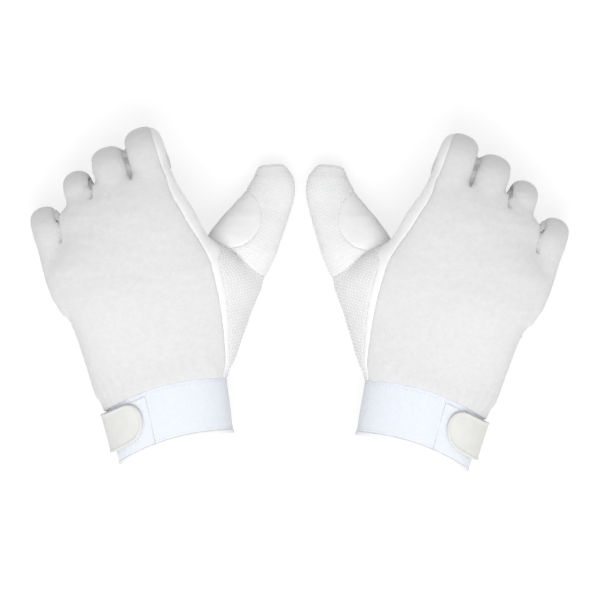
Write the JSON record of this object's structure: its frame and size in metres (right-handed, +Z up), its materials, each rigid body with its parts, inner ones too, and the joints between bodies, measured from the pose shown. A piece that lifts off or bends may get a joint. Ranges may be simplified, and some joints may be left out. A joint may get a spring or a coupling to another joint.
{
  "type": "pair of cotton grip gloves",
  "caption": "Pair of thin cotton gloves, palm down with curled fingers, with grip-dot palms, thumb gussets and a hook-and-loop tab across the wrist.",
  "frame": {"origin": "centre of the pair on the table: the middle of the bounding box in X and Y, its bottom in Z", "axes": "+X from the left glove to the right glove, +Y from the cuffs to the fingers, +Z up out of the backs of the hands"},
  "size_m": [0.2978, 0.1912, 0.0609],
  "materials": {
    "cotton_back": "brushed cotton knit",
    "cotton_strip": "plain cotton knit",
    "grip_palm": "cotton knit with small raised grip dots",
    "stretch_band": "looped stretch band",
    "binding": "folded tape",
    "stretch_tape": "ribbed stretch tape",
    "loop_pile": "brushed loop pile",
    "hook_tape": "moulded hooks",
    "tab_plastic": "satin soft moulding"
  },
  "bodies": {
    "left_glove": {"left_back_panel": "cotton_back", "left_palm_panel": "grip_palm", "left_index_side_panel": "cotton_strip", "left_index_middle_fourchette": "cotton_strip", "left_middle_ring_fourchette": "cotton_strip", "left_ring_little_fourchette": "cotton_strip", "left_thumb_panel": "grip_palm", "left_thumb_gusset": "cotton_strip", "left_cuff_band": "stretch_band", "left_cuff_binding": "binding", "left_loop_patch": "loop_pile", "left_vent_gusset": "stretch_tape", "left_tab_anchor": "tab_plastic"},
    "left_tab": {"left_closure_tab": "tab_plastic", "left_hook_patch": "hook_tape"},
    "right_glove": {"right_back_panel": "cotton_back", "right_palm_panel": "grip_palm", "right_index_side_panel": "cotton_strip", "right_index_middle_fourchette": "cotton_strip", "right_middle_ring_fourchette": "cotton_strip", "right_ring_little_fourchette": "cotton_strip", "right_thumb_panel": "grip_palm", "right_thumb_gusset": "cotton_strip", "right_cuff_band": "stretch_band", "right_cuff_binding": "binding", "right_loop_patch": "loop_pile", "right_vent_gusset": "stretch_tape", "right_tab_anchor": "tab_plastic"},
    "right_tab": {"right_closure_tab": "tab_plastic", "right_hook_patch": "hook_tape"}
  },
  "joints": [
    {"name": "left_tab_hinge", "type": "hinge", "parent": "left_glove", "child": "left_tab", "pos_m": [-0.10302, -0.07249, 0.00894], "axis": [0.2472, -0.969, 0], "range_deg": [0, 95]},
    {"name": "right_glove_lift", "type": "slide", "parent": "left_glove", "child": "right_glove", "axis": [0, 0, 1], "range_m": [0, 0.08]},
    {"name": "right_tab_hinge", "type": "hinge", "parent": "right_glove", "child": "right_tab", "pos_m": [0.09742, -0.07678, 0.00894], "axis": [0.2934, 0.956, 0], "range_deg": [0, 95]}
  ]
}
